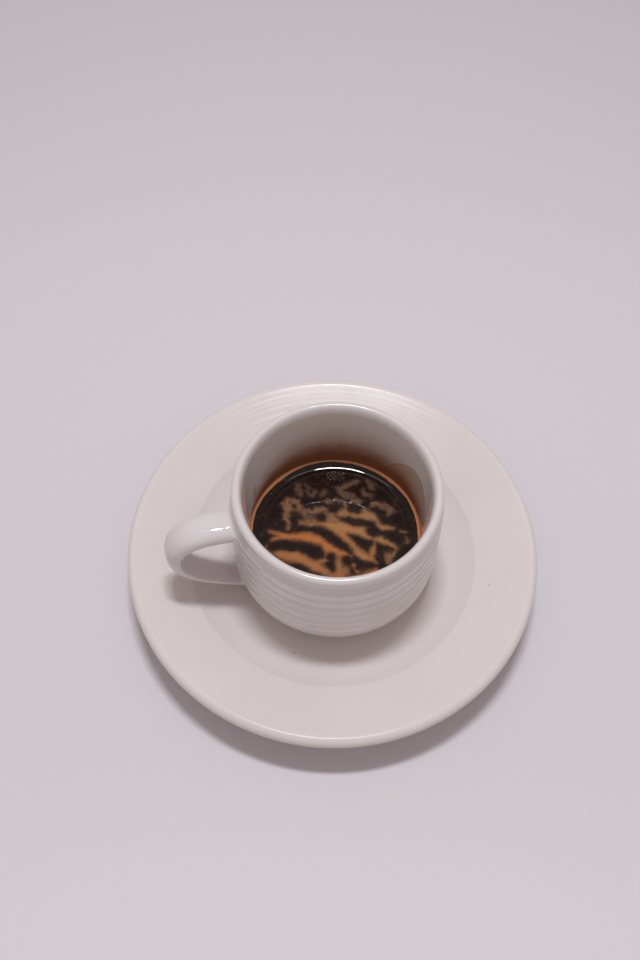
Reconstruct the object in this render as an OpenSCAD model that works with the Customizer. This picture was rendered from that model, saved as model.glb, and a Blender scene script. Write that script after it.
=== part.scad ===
// Espresso shot in a thick-walled ceramic cup on its saucer.
// Three separate pieces: the saucer stands on the table, the cup (with its
// handle, one piece of ceramic) stands in the saucer's well, and the coffee
// fills the cup to its level. Millimetres, +Z up, origin on the table under
// the middle of the saucer.

/* [Saucer] */
// Outer diameter of the saucer
saucer_d = 125; // [118:1:135]
// Height of the saucer's rim above the table
saucer_h = 17; // [15.5:0.5:18]
// Radius of the crease between the well and the sloping rim
crease_r = 44.1; // [42:0.1:46]
// Height of that crease above the table
crease_z = 11.3; // [10.5:0.1:12]
// Radius of the flat floor of the well
floor_r = 25.5; // [24:0.5:27]
// Height of the well's floor above the table
floor_z = 6.5; // [6:0.1:7]
// How steeply the well curves up to the crease
well_power = 2.8; // [2:0.1:3]
// Wall thickness of the saucer
saucer_wall = 4; // [3.5:0.1:4.4]
// Radius of the rounded outer edge
edge_r = 2.1; // [1.8:0.1:2.6]
// Outer radius of the saucer's foot ring
sfoot_r = 33; // [31:0.5:35]
// Width of the foot ring where it stands
sfoot_w = 3; // [2.5:0.5:4]

/* [Cup] */
// Overall height of the cup, foot to lip
cup_h = 42.7; // [40:0.1:46]
// Outer diameter across the lip
lip_d = 59.2; // [58:0.1:60]
// Thickness of the rounded lip
lip_t = 2.9; // [2.6:0.1:3.2]
// Outer diameter of the body just below the lip
body_top_d = 59.8; // [59:0.1:61]
// Outer diameter of the body at its fullest, near the bottom
body_low_d = 61.2; // [60:0.1:62]
// Radius that rounds the body into its base
base_round = 9.2; // [8:0.1:10]
// Inner diameter just below the lip
inner_top_d = 53; // [52:0.1:53.2]
// Height over which the lip's inner side rounds into the wall
lip_ease = 3.4; // [2:0.1:5]
// Inner diameter above the rounded bottom
inner_low_d = 51; // [49:0.1:51.5]
// Radius that rounds the inside wall into its floor
inner_round = 9; // [7:0.5:10]
// Thickness of the base under the coffee
base_t = 3.8; // [3.4:0.1:4.2]
// Outer radius of the cup's foot ring
foot_r = 20.6; // [19:0.1:21]
// Width of the cup's foot ring
foot_w = 3; // [2.5:0.1:3.5]
// Height of the cup's foot ring
foot_h = 1.5; // [1.2:0.1:1.8]
// How far the cup stands off the middle of the saucer
cup_dx = 0.6; // [0:0.1:1]

/* [Ridges on the body] */
// Number of turned ridges round the body
ridge_n = 6; // [5:1:9]
// Height of each ridge
ridge_h = 0.2; // [0.1:0.02:0.3]
// Height of the lowest ridge above the cup's foot
ridge_z0 = 9.6; // [9.2:0.1:11]

/* [Handle] */
// How far the handle is turned towards the front from straight left
handle_turn = 15.3; // [8:0.1:20]
// Distance of the gap's far end from the cup's axis
gap_reach = 46; // [44:0.5:48]
// Height of the gap's top above the table, at the cup
gap_top = 38; // [36:0.5:39]
// Height of the gap's bottom above the table, at the cup
gap_low = 11.8; // [11.5:0.1:13]
// Height above the table where the gap reaches furthest out
gap_mid = 31.3; // [29:0.5:33]
// Width of the handle's strap
strap_w = 9.6; // [8.6:0.1:11]
// How much wider the strap gets where it joins the cup
strap_flare = 0.8; // [0:0.1:2]
// Thickness of the strap's thin edges
strap_edge = 1.9; // [1.6:0.1:2.4]
// Thickness of the domed strap on top, under the thumb
strap_top = 4.6; // [4:0.1:5.5]
// Thickness of the strap at its outermost point
strap_tip = 4.3; // [3.5:0.1:5]
// Thickness of the strap underneath
strap_low = 3.2; // [2.8:0.1:3.6]
// How square the strap's dome is, 2 for a plain oval
strap_square = 2.6; // [2:0.1:3]

/* [Coffee] */
// Depth of the coffee at the middle of the cup
coffee_depth = 10.2; // [9:0.1:14]

/* [Hidden] */
$fn = 96;

cz = floor_z;                          // height of the cup's foot
top_z = cz + cup_h;                    // top of the lip
lip_r = lip_t / 2;                     // radius of the lip's round
lip_c = lip_d / 2 - lip_r;             // centre circle of the lip
lip_z = top_z - lip_r;
base_z = cz + foot_h;                  // underside of the base
bulge_z = base_z + base_round;         // height where the body is fullest
neck_z = top_z - 5.6;                  // top of the ridged body
ridge_step = (neck_z - cz - ridge_z0) / ridge_n;  // spacing of the ridges
floor_in = base_z + base_t;            // floor inside the cup
low_z = floor_in + inner_round;        // inside wall starts here
coffee_z = floor_in + coffee_depth;    // the coffee's level

// arc of a circle in the radius-height plane, as a list of points
function arc(cr, cz, r, a0, a1, n) =
    [for (i = [0:n]) let (a = a0 + (a1 - a0) * i / n) [cr + r * cos(a), cz + r * sin(a)]];

// cubic curve through its end points, and its direction
function bez(p, t) = pow(1 - t, 3) * p[0] + 3 * pow(1 - t, 2) * t * p[1]
    + 3 * (1 - t) * t * t * p[2] + t * t * t * p[3];
function bez_dir(p, t) = let (d = 3 * pow(1 - t, 2) * (p[1] - p[0])
    + 6 * (1 - t) * t * (p[2] - p[1]) + 3 * t * t * (p[3] - p[2])) d / norm(d);

// ---- saucer -------------------------------------------------------------

// height of the saucer's top face in the well
function well_z(r) = r <= floor_r ? floor_z
    : floor_z + (crease_z - floor_z) * pow((r - floor_r) / (crease_r - floor_r), well_power);

// the sloping rim is straight and runs smoothly into the rolled edge
apex_r = saucer_d / 2 - edge_r;
rim_run = apex_r - crease_r;
rim_rise = saucer_h - edge_r - crease_z;
rim_a = atan(rim_rise / rim_run) + asin(edge_r / norm([rim_run, rim_rise]));

saucer_top = concat(
    [for (i = [0:14]) let (r = floor_r + (crease_r - floor_r) * i / 14) [r, well_z(r)]],
    arc(apex_r, saucer_h - edge_r, edge_r, 90 + rim_a, -90, 20));

saucer_under = concat(
    [for (i = [8:-1:0]) let (r = sfoot_r + 2.2 + (crease_r - sfoot_r - 2.2) * i / 8) [r, well_z(r) - saucer_wall + 0.3]],
    [[sfoot_r + 0.6, 0.8], [sfoot_r, 0], [sfoot_r - sfoot_w, 0],
     [sfoot_r - sfoot_w - 1.1, floor_z - saucer_wall + 0.2], [0, floor_z - saucer_wall + 0.2]]);

module saucer() {
    color([0.90, 0.87, 0.86])
    rotate_extrude($fn = 128)
        polygon(concat([[0, floor_z]], saucer_top, saucer_under));
}

// ---- cup ----------------------------------------------------------------

// radius of the body between its fullest point and the neck
function body_r(z) = body_low_d / 2 + (body_top_d - body_low_d) / 2 * (z - bulge_z) / (neck_z - bulge_z);

// one rounded ridge every ridge_step, each drawn with eight points
ridge_wall = [for (k = [0:ridge_n - 1]) for (j = [0:7])
    let (z = cz + ridge_z0 + ridge_step * (k + j / 8))
    [body_r(z) + ridge_h * pow(sin(180 * j / 8), 2), z]];

cup_outer = concat(
    [[foot_r - foot_w, cz], [foot_r, cz], [foot_r + 0.6, base_z]],
    arc(body_low_d / 2 - base_round, bulge_z, base_round, -90, -4, 10),
    ridge_wall,
    [[body_r(neck_z), neck_z], [body_r(neck_z) - 0.2, neck_z + 0.8], [lip_c + lip_r - 0.25, neck_z + 2.4]],
    arc(lip_c, lip_z, lip_r, -18, 90, 9),
    [for (a = [9:9:81]) [lip_c - (lip_c - inner_top_d / 2) * sin(a), top_z - lip_ease * (1 - cos(a))]]);

// inside face, from the lip down to the middle of the floor
cup_inner = concat(
    [[inner_top_d / 2, top_z - lip_ease]],
    arc(inner_low_d / 2 - inner_round, low_z, inner_round, 0, -90, 10),
    [[0, floor_in]]);

// closed section of the strap: domed outside, nearly flat inside
function squared(v) = sign(v) * pow(abs(v), 2 / strap_square);
function section(w, t) = [for (j = [0:19]) let (a = 360 * (j + 0.5) / 20)
    [w / 2 * squared(cos(a)), strap_edge / 2 + (a < 180 ? t - strap_edge / 2 : strap_edge / 2) * squared(sin(a))]];

loop_a = [[28, gap_top], [36, gap_top + 2.4], [gap_reach + 0.2, gap_top + 2], [gap_reach, gap_mid]];
loop_b = [[gap_reach, gap_mid], [gap_reach + 0.1, gap_mid - 8], [37, gap_low + 4.8], [27.6, gap_low]];
loop_n = 18;                           // rings in each half of the loop

function ring(i) = let (
        u = i / loop_n,
        p = u <= 1 ? bez(loop_a, u) : bez(loop_b, u - 1),
        d = u <= 1 ? bez_dir(loop_a, u) : bez_dir(loop_b, u - 1),
        t = u <= 1 ? strap_top + (strap_tip - strap_top) * u : strap_tip + (strap_low - strap_tip) * (u - 1),
        w = strap_w + strap_flare * pow(abs(u - 1), 4))
    [for (q = section(w, t)) [p[0] - d[1] * q[1], q[0], p[1] + d[0] * q[1]]];

module strap() {
    pts = [for (i = [0:2 * loop_n]) each ring(i)];
    last = 2 * loop_n * 20;
    faces = concat(
        [[for (j = [0:19]) j]],
        [for (i = [0:2 * loop_n - 1]) for (j = [0:19])
            let (a = i * 20 + j, b = i * 20 + (j + 1) % 20) each [[a, a + 20, b], [b, a + 20, b + 20]]],
        [[for (j = [19:-1:0]) last + j]]);
    polyhedron(points = pts, faces = faces);
}

module cup() {
    color([0.93, 0.91, 0.92])
    translate([cup_dx, 0, 0])
    difference() {
        union() {
            rotate_extrude($fn = 128)
                polygon(concat([[0, base_z - 0.3], [foot_r - foot_w - 0.5, base_z - 0.3]],
                    cup_outer, cup_inner));
            rotate([0, 0, 180 + handle_turn]) strap();
        }
        // keeps the strap's roots out of the inside of the cup
        rotate_extrude($fn = 128)
            polygon(concat(cup_inner, [[0, top_z], [inner_top_d / 2, top_z]]));
    }
}

// ---- coffee -------------------------------------------------------------

// the coffee's side is the cup's inside face, up to the level
function inner_r(z) = inner_low_d / 2 + (inner_top_d - inner_low_d) / 2 * (z - low_z) / (top_z - lip_ease - low_z);

module espresso() {
    color([0.20, 0.11, 0.07])
    translate([cup_dx, 0, 0])
    rotate_extrude($fn = 128)
        polygon(concat([[0, coffee_z], [inner_r(coffee_z), coffee_z]],
            arc(inner_low_d / 2 - inner_round, low_z, inner_round, 0, -90, 10),
            [[0, floor_in]]));
}

saucer();
cup();
espresso();
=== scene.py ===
import bpy
import math
import numpy as np
from mathutils import Matrix, Vector


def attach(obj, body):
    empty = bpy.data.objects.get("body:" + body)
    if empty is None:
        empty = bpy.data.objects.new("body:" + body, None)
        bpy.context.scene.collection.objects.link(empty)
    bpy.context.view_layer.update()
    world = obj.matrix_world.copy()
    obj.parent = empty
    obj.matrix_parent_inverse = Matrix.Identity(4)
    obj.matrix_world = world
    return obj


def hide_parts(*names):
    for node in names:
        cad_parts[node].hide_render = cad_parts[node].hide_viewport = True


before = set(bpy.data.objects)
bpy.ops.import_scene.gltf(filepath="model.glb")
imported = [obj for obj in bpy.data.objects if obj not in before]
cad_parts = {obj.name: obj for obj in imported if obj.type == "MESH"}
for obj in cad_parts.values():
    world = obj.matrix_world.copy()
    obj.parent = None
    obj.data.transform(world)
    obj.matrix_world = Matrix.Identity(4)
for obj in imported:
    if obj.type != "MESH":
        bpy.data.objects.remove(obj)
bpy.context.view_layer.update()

# ------------------------------------------------------------------ helpers
# All shapes are worked out in millimetres and turned into metres once, in
# make_piece().  The frame is the CAD frame: table at z = 0, saucer centred.


def lin(r, g, b):
    """sRGB 0..255 to linear."""
    out = []
    for v in (r, g, b):
        v /= 255.0
        out.append(v / 12.92 if v <= 0.04045 else ((v + 0.055) / 1.055) ** 2.4)
    return tuple(out) + (1.0,)


def make_piece(name, verts, faces, mat, node=None, attrs=None, normals=None):
    me = bpy.data.meshes.new(name)
    verts = np.asarray(verts, dtype=np.float64) * 0.001
    nv = len(verts)
    me.vertices.add(nv)
    me.vertices.foreach_set("co", verts.ravel())
    total = sum(len(f) * f.shape[1] for f in faces)
    me.loops.add(total)
    me.loops.foreach_set("vertex_index", np.concatenate([f.ravel() for f in faces]).astype(np.int32))
    sizes = np.concatenate([np.full(len(f), f.shape[1]) for f in faces])
    starts = np.concatenate([[0], np.cumsum(sizes)[:-1]])
    me.polygons.add(len(sizes))
    me.polygons.foreach_set("loop_start", starts.astype(np.int32))
    me.polygons.foreach_set("use_smooth", np.ones(len(sizes), dtype=bool))
    me.update(calc_edges=True)
    me.validate()
    for key, val in (attrs or {}).items():
        a = me.attributes.new(key, "FLOAT", "POINT")
        a.data.foreach_set("value", np.asarray(val, dtype=np.float32))
    if normals is not None:
        me.normals_split_custom_set_from_vertices([tuple(n) for n in normals])
    ob = bpy.data.objects.new(name, me)
    bpy.context.scene.collection.objects.link(ob)
    me.materials.append(mat)
    if node:
        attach(ob, "root")
        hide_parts(node)
    return ob


def resample(poly, spacing, smooth=0.0):
    """Dense copy of a polyline with rounded corners; spacing is a function of
    the point and returns the wanted distance to the next point."""
    poly = np.asarray(poly, float)
    seg = np.hypot(*np.diff(poly, axis=0).T)
    s = np.concatenate([[0], np.cumsum(seg)])
    n = int(s[-1] / 0.05) + 1
    t = np.linspace(0, s[-1], n)
    p = np.stack([np.interp(t, s, poly[:, 0]), np.interp(t, s, poly[:, 1])], 1)
    if smooth > 0:
        k = int(4 * smooth / 0.05)
        w = np.exp(-0.5 * (np.arange(-k, k + 1) * 0.05 / smooth) ** 2)
        w /= w.sum()
        q = np.concatenate([2 * p[0] - p[k:0:-1], p, 2 * p[-1] - p[-2:-k - 2:-1]])
        p = np.stack([np.convolve(q[:, i], w, "valid") for i in (0, 1)], 1)
    d = np.gradient(p, axis=0)
    a = np.unwrap(np.arctan2(d[:, 1], d[:, 0]))
    kappa = np.abs(np.gradient(a)) / 0.05
    want = np.array([spacing(q) for q in p])
    dens = 1.0 / want + kappa / math.radians(7.0)
    c = np.concatenate([[0], np.cumsum((dens[1:] + dens[:-1]) / 2 * 0.05)])
    m = int(c[-1]) + 2
    u = np.linspace(0, c[-1], m)
    tt = np.interp(u, c, np.arange(len(p)))
    idx = np.arange(len(p))
    return np.stack([np.interp(tt, idx, p[:, 0]), np.interp(tt, idx, p[:, 1])], 1)


def revolve(prof, segs, cx=0.0, relief=None):
    """Closed surface of revolution.  The profile starts and ends on the axis,
    with the outside on its right.  relief(r, z, angle) moves points
    along the profile's normal."""
    prof = np.asarray(prof, float)
    prof[0, 0] = prof[-1, 0] = 0.0
    d = np.gradient(prof, axis=0)
    d /= np.hypot(d[:, 0], d[:, 1])[:, None]
    nr, nz = d[:, 1], -d[:, 0]
    inner = prof[1:-1]
    th = 2 * math.pi * np.arange(segs) / segs
    R = inner[:, 0][:, None] * np.ones(segs)
    Z = inner[:, 1][:, None] * np.ones(segs)
    A = np.ones(len(inner))[:, None] * th
    if relief is not None:
        h = relief(R, Z, A)
        R = R + h * nr[1:-1][:, None]
        Z = Z + h * nz[1:-1][:, None]
    V = np.stack([cx + R * np.cos(A), R * np.sin(A), Z], 2).reshape(-1, 3)
    n = len(inner)
    V = np.vstack([V, [[cx, 0, prof[0, 1]], [cx, 0, prof[-1, 1]]]])
    i = np.arange(n - 1)[:, None] * segs
    j = np.arange(segs)[None, :]
    k = (j + 1) % segs
    quads = np.stack([i + j, i + k, i + segs + k, i + segs + j], 2).reshape(-1, 4)
    a, b = n * segs, n * segs + 1
    j = np.arange(segs)
    k = (j + 1) % segs
    cap0 = np.stack([np.full(segs, a), k, j], 1)
    cap1 = np.stack([np.full(segs, b), (n - 1) * segs + j, (n - 1) * segs + k], 1)
    return V, quads, np.vstack([cap0, cap1]), (R, Z, n, segs)


def arc(cr, cz, r, a0, a1, n):
    a = np.radians(np.linspace(a0, a1, n))
    return np.stack([cr + r * np.cos(a), cz + r * np.sin(a)], 1).tolist()


# seeded smooth noise ---------------------------------------------------------
def lattice(seed, n=256):
    return np.random.RandomState(seed).rand(n, n)


def vnoise(x, y, seed):
    L = lattice(seed)
    xi, yi = np.floor(x).astype(int), np.floor(y).astype(int)
    fx, fy = x - xi, y - yi
    fx = fx * fx * fx * (fx * (fx * 6 - 15) + 10)
    fy = fy * fy * fy * (fy * (fy * 6 - 15) + 10)
    a = L[xi % 256, yi % 256]
    b = L[(xi + 1) % 256, yi % 256]
    c = L[xi % 256, (yi + 1) % 256]
    d = L[(xi + 1) % 256, (yi + 1) % 256]
    return (a + (b - a) * fx) * (1 - fy) + (c + (d - c) * fx) * fy - 0.5


def fbm(x, y, seed, octaves=4, gain=0.55):
    s, amp, f = 0.0, 1.0, 1.0
    for o in range(octaves):
        s = s + amp * vnoise(x * f + 17.3 * o, y * f - 9.1 * o, seed + o)
        amp *= gain
        f *= 2.03
    return s


def sstep(a, b, x):
    t = np.clip((x - a) / (b - a), 0, 1)
    return t * t * (3 - 2 * t)


# ------------------------------------------------------------------ materials
class Nodes:
    def __init__(self, name):
        self.mat = bpy.data.materials.new(name)
        self.mat.use_nodes = True
        self.t = self.mat.node_tree
        self.bsdf = self.t.nodes["Principled BSDF"]

    def link(self, a, b):
        self.t.links.new(a, b)

    def put(self, sock, v):
        if isinstance(v, bpy.types.NodeSocket):
            self.link(v, sock)
        else:
            sock.default_value = v

    def math(self, op, a, b=0.0, c=0.0, clamp=False):
        n = self.t.nodes.new("ShaderNodeMath")
        n.operation = op
        n.use_clamp = clamp
        self.put(n.inputs[0], a)
        self.put(n.inputs[1], b)
        if len(n.inputs) > 2:
            self.put(n.inputs[2], c)
        return n.outputs[0]

    def ramp01(self, x, a, b, lo=0.0, hi=1.0, smooth=True):
        n = self.t.nodes.new("ShaderNodeMapRange")
        n.interpolation_type = "SMOOTHSTEP" if smooth else "LINEAR"
        n.clamp = True if hasattr(n, "clamp") else True
        self.put(n.inputs["Value"], x)
        self.put(n.inputs["From Min"], a)
        self.put(n.inputs["From Max"], b)
        self.put(n.inputs["To Min"], lo)
        self.put(n.inputs["To Max"], hi)
        return n.outputs["Result"]

    def mix(self, f, a, b):
        n = self.t.nodes.new("ShaderNodeMix")
        n.data_type = "RGBA"
        n.clamp_factor = True
        self.put(n.inputs[0], f)
        self.put(n.inputs[6], a)
        self.put(n.inputs[7], b)
        return n.outputs[2]

    def coords(self, scale=1000.0, offset=(0, 0, 0)):
        tc = self.t.nodes.new("ShaderNodeTexCoord")
        m = self.t.nodes.new("ShaderNodeMapping")
        m.inputs["Scale"].default_value = (scale,) * 3
        m.inputs["Location"].default_value = offset
        self.link(tc.outputs["Object"], m.inputs["Vector"])
        return m.outputs["Vector"]

    def noise(self, vec, scale, detail=3.0, rough=0.5, distortion=0.0):
        n = self.t.nodes.new("ShaderNodeTexNoise")
        self.link(vec, n.inputs["Vector"])
        n.inputs["Scale"].default_value = scale
        n.inputs["Detail"].default_value = detail
        n.inputs["Roughness"].default_value = rough
        n.inputs["Distortion"].default_value = distortion
        return n.outputs[0]

    def attr(self, name):
        n = self.t.nodes.new("ShaderNodeAttribute")
        n.attribute_name = name
        return n.outputs["Fac"]

    def xyz(self, vec):
        n = self.t.nodes.new("ShaderNodeSeparateXYZ")
        self.link(vec, n.inputs[0])
        return n.outputs


def bsdf_set(N, ior=1.5, spec=0.5):
    N.bsdf.inputs["IOR"].default_value = ior
    N.bsdf.inputs["Specular IOR Level"].default_value = spec


# saucer glaze: off-white, with faint cloudy unevenness and a few dark specks
def saucer_glaze():
    N = Nodes("saucer_glaze")
    v = N.coords()
    cloud = N.noise(v, 0.035, 3.0, 0.5)
    fine = N.noise(v, 0.9, 3.0, 0.6)
    base = N.mix(N.ramp01(cloud, 0.3, 0.7), lin(*SAUCER_A), lin(*SAUCER_B))
    x, y, z = N.xyz(v)
    # tiny iron specks under the glaze
    speck = None
    for sx, sy, r in ((-10.9, -32.6, 0.32), (47.5, -11.9, 0.3)):
        dx = N.math("SUBTRACT", x, sx)
        dy = N.math("SUBTRACT", y, sy)
        d = N.math("SQRT", N.math("ADD", N.math("MULTIPLY", dx, dx), N.math("MULTIPLY", dy, dy)))
        m = N.ramp01(N.math("ADD", d, N.math("MULTIPLY", fine, 0.2)), r * 0.7 + 0.1, r * 1.3 + 0.1, 1.0, 0.0)
        speck = m if speck is None else N.math("MAXIMUM", speck, m)
    top = N.ramp01(z, 2.0, 5.0)
    speck = N.math("MULTIPLY", N.math("MULTIPLY", speck, top), 0.42)
    base = N.mix(speck, base, lin(112, 92, 80))
    N.link(base, N.bsdf.inputs["Base Color"])
    N.link(N.ramp01(N.noise(v, 0.16, 3.0, 0.6), 0.3, 0.7, 0.15, 0.22), N.bsdf.inputs["Roughness"])
    bsdf_set(N, 1.5, 0.13)
    return N.mat


def cup_glaze(level, cdx):
    """White glaze.  Inside, above the coffee, it is stained brown in a band
    that thins out upwards and reaches furthest at the back and right."""
    N = Nodes("cup_glaze")
    v = N.coords()
    cloud = N.noise(v, 0.05, 2.0, 0.5)
    fine = N.noise(v, 0.9, 3.0, 0.6)
    base = N.mix(N.ramp01(cloud, 0.3, 0.7), lin(*CUP_A), lin(*CUP_B))
    x, y, z = N.xyz(v)
    xc = N.math("SUBTRACT", x, cdx)
    r = N.math("SQRT", N.math("ADD", N.math("MULTIPLY", xc, xc), N.math("MULTIPLY", y, y)))
    inside = N.ramp01(r, 26.75, 27.0, 1.0, 0.0)
    inside = N.math("MULTIPLY", inside, N.ramp01(z, 11.0, 11.6))
    # painted light: the inner wall below the lip gets a whiter glaze than the outside, standing in for light bounced
    # round inside the cup
    base = N.mix(N.math("MULTIPLY", inside, N.ramp01(z, 48.2, 46.0)), base, lin(*CUP_IN_PAINTED_LIGHT))
    ang = N.math("ARCTAN2", y, xc)          # 0 right, pi/2 back
    wob = N.noise(v, 0.22, 3.0, 0.55)
    wob2 = N.noise(v, 1.1, 3.0, 0.6)
    h = N.math("SUBTRACT", z, level)
    up_down = N.math("MULTIPLY", N.math("SUBTRACT", wob, 0.5), 2.6)
    hh = N.math("SUBTRACT", N.math("SUBTRACT", h, up_down), N.math("MULTIPLY", N.math("SUBTRACT", wob2, 0.5), 0.5))
    # how far round from the back the wall is stained: 1 at the back, 0 in front
    back = N.ramp01(N.math("ADD", y, N.math("MULTIPLY", xc, 0.12)), -4.0, 25.0, smooth=False)
    # the strong brown band right above the coffee
    dark = N.ramp01(hh, N.math("MULTIPLY_ADD", back, 3.2, 0.4), N.math("MULTIPLY_ADD", back, 10.5, 1.8), 1.0, 0.0)
    # the thin wash above it
    wash = N.ramp01(hh, N.math("MULTIPLY_ADD", back, 4.5, 0.8), N.math("MULTIPLY_ADD", back, 19.0, 2.4), 1.0, 0.0)
    # painted highlight: the glaze is painted lighter along the crests of the upper ridges, standing in for glints of
    # light on them
    u = N.math("DIVIDE", N.math("SUBTRACT", z, RIDGE_Z), RIDGE_STEP / 2)
    fr = N.math("ABSOLUTE", N.math("SUBTRACT", N.math("FRACT", u), 0.45))
    painted_crest_highlight = N.math("MULTIPLY", N.ramp01(fr, 0.04, 0.2, 1.0, 0.0), N.ramp01(z, 28.0, 36.0, 0.25, 1.0))
    painted_crest_highlight = N.math("MULTIPLY", painted_crest_highlight, N.math("MULTIPLY", N.ramp01(z, 42.8, 43.6, 1.0, 0.0), N.ramp01(z, RIDGE_Z, RIDGE_Z + 1.0)))
    painted_crest_highlight = N.math("MULTIPLY", N.math("MULTIPLY", painted_crest_highlight, N.math("MULTIPLY", N.ramp01(r, 28.8, 29.2), N.ramp01(r, 30.9, 31.1, 1.0, 0.0))), N.ramp01(N.noise(v, 0.06, 2.0, 0.5), 0.36, 0.62, 0.15, 0.8))
    # painted highlight colour laid on the ridge crests
    base = N.mix(painted_crest_highlight, base, lin(248, 243, 246))
    # a film left by tilting the cup, on the right wall
    da = N.math("SUBTRACT", ang, FILM_A)
    film_top = N.math("SUBTRACT", FILM_H, N.math("MULTIPLY", N.math("MULTIPLY", da, da), FILM_K))
    film = N.ramp01(N.math("SUBTRACT", film_top, N.math("SUBTRACT", h, N.math("MULTIPLY", up_down, 0.35))), 0.0, 0.7)
    film_edge = N.ramp01(N.math("ABSOLUTE", N.math("SUBTRACT", N.math("SUBTRACT", film_top, N.math("SUBTRACT", h, N.math("MULTIPLY", up_down, 0.35))), 0.5)), 0.0, 0.6, 1.0, 0.0)
    film = N.math("MULTIPLY", film, inside)
    film_edge = N.math("MULTIPLY", film_edge, inside)
    # a splash mark on the left wall
    sa = N.math("MULTIPLY", N.math("SUBTRACT", ang, 2.79), 26.0)
    sz = N.math("SUBTRACT", z, 30.0)
    sd = N.math("SQRT", N.math("ADD", N.math("MULTIPLY", sa, sa), N.math("MULTIPLY", N.math("MULTIPLY", sz, sz), 0.35)))
    splash = N.math("MULTIPLY", N.ramp01(N.math("ADD", sd, up_down), 0.9, 2.0, 1.0, 0.0), inside)
    dark = N.math("MULTIPLY", dark, inside)
    wash = N.math("MULTIPLY", N.math("MULTIPLY", wash, inside), 0.75)
    base = N.mix(N.math("MULTIPLY", splash, 0.5), base, lin(186, 140, 100))
    base = N.mix(N.math("MULTIPLY", film, 0.62), base, lin(192, 150, 112))
    base = N.mix(N.math("MULTIPLY", film_edge, 0.3), base, lin(150, 104, 72))
    base = N.mix(wash, base, lin(176, 130, 98))
    base = N.mix(N.math("MULTIPLY", dark, 0.9), base, lin(140, 84, 50))
    N.link(base, N.bsdf.inputs["Base Color"])
    lip = N.ramp01(z, 46.8, 47.8, 0.0, 0.1)
    N.link(N.math("ADD", lip, N.ramp01(fine, 0.3, 0.7, 0.035, 0.055)), N.bsdf.inputs["Roughness"])
    bsdf_set(N)
    return N.mat


def coffee_material():
    """Dark liquid with crema.  The crema field comes with the mesh as an
    attribute in millimetres (positive inside the crema)."""
    N = Nodes("coffee")
    v = N.coords()
    f = N.attr("crema")
    tone = N.attr("tone")
    dull = N.attr("dull")
    edge = N.attr("wall")
    n1 = N.noise(v, 1.3, 4.0, 0.62, 0.6)
    n2 = N.noise(v, 4.5, 3.0, 0.6)
    w = N.math("ADD", f, N.math("MULTIPLY", N.math("SUBTRACT", n1, 0.5), 0.5))
    w = N.math("ADD", w, N.math("MULTIPLY", N.math("SUBTRACT", n2, 0.5), 0.3))
    soft = N.math("MULTIPLY", dull, N.math("ADD", 0.42, N.math("MULTIPLY", n1, 0.5)))
    mask = N.math("MULTIPLY", N.ramp01(w, -0.5, 0.55), N.math("SUBTRACT", 1.0, soft))
    core = N.ramp01(w, 0.0, 1.5)
    orange = N.mix(core, lin(*ORANGE_E), lin(*ORANGE_C))
    tan = N.mix(core, lin(*TAN_E), lin(*TAN_C))
    grey = N.mix(core, lin(*GREY_E), lin(*GREY_C))
    n3 = N.noise(v, 0.35, 3.0, 0.55)
    tone = N.math("ADD", tone, N.math("MULTIPLY", N.math("SUBTRACT", n3, 0.5), 1.5), clamp=True)
    crema = N.mix(tone, orange, tan)
    crema = N.mix(dull, crema, grey)
    haze = N.ramp01(N.math("ADD", f, N.math("MULTIPLY", N.math("SUBTRACT", n1, 0.5), 2.2)), -1.6, 0.6)
    liquid = N.mix(N.math("MULTIPLY", haze, 0.55), lin(*LIQUID), lin(*LIQUID_HAZE))
    base = N.mix(mask, liquid, crema)
    ringm = N.ramp01(N.math("ADD", edge, N.math("MULTIPLY", N.math("SUBTRACT", n1, 0.5), 0.7)), 0.35, 0.75)
    base = N.mix(N.math("MULTIPLY", ringm, 0.9), base, lin(*RING_C))
    N.link(base, N.bsdf.inputs["Base Color"])
    rough = N.math("ADD", N.math("MULTIPLY", mask, 0.03), 0.03)
    N.link(rough, N.bsdf.inputs["Roughness"])
    bsdf_set(N, 1.4, 0.5)
    return N.mat


def bubble_material():
    N = Nodes("bubbles")
    v = N.coords()
    n = N.noise(v, 1.5, 2.0, 0.5)
    N.link(N.mix(n, lin(58, 44, 38), lin(104, 88, 78)), N.bsdf.inputs["Base Color"])
    N.bsdf.inputs["Roughness"].default_value = 0.06
    bsdf_set(N, 1.34, 0.5)
    return N.mat


# colours, sRGB
SAUCER_A, SAUCER_B = (219, 211, 212), (223, 214, 215)
CUP_A, CUP_B = (214, 207, 210), (218, 211, 214)
# painted light: whiter inner glaze standing in for light bounced round inside the cup
CUP_IN_PAINTED_LIGHT = (232, 225, 228)
ORANGE_C, ORANGE_E = (182, 110, 60), (116, 70, 42)
TAN_C, TAN_E = (168, 121, 78), (108, 76, 50)
GREY_C, GREY_E = (122, 98, 84), (84, 64, 54)
LIQUID, LIQUID_HAZE = (27, 14, 12), (62, 40, 34)
RING_C = (210, 137, 94)
FILM_A, FILM_H, FILM_K = 0.43, 16.2, 40.0
RIDGE_Z, RIDGE_STEP = 16.1, 27.5 / 6

# ------------------------------------------------------------------ saucer
saucer_d, saucer_h, crease_r, crease_z = 125.0, 17.0, 44.1, 11.3
floor_r, floor_z, well_power, saucer_wall, edge_r = 25.5, 6.5, 2.8, 4.0, 2.1
sfoot_r, sfoot_w = 33.0, 3.0
apex_r = saucer_d / 2 - edge_r
rim_run, rim_rise = apex_r - crease_r, saucer_h - edge_r - crease_z
rim_a = math.degrees(math.atan(rim_rise / rim_run) + math.asin(edge_r / math.hypot(rim_run, rim_rise)))


def well_z(r):
    return floor_z if r <= floor_r else floor_z + (crease_z - floor_z) * ((r - floor_r) / (crease_r - floor_r)) ** well_power


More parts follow.
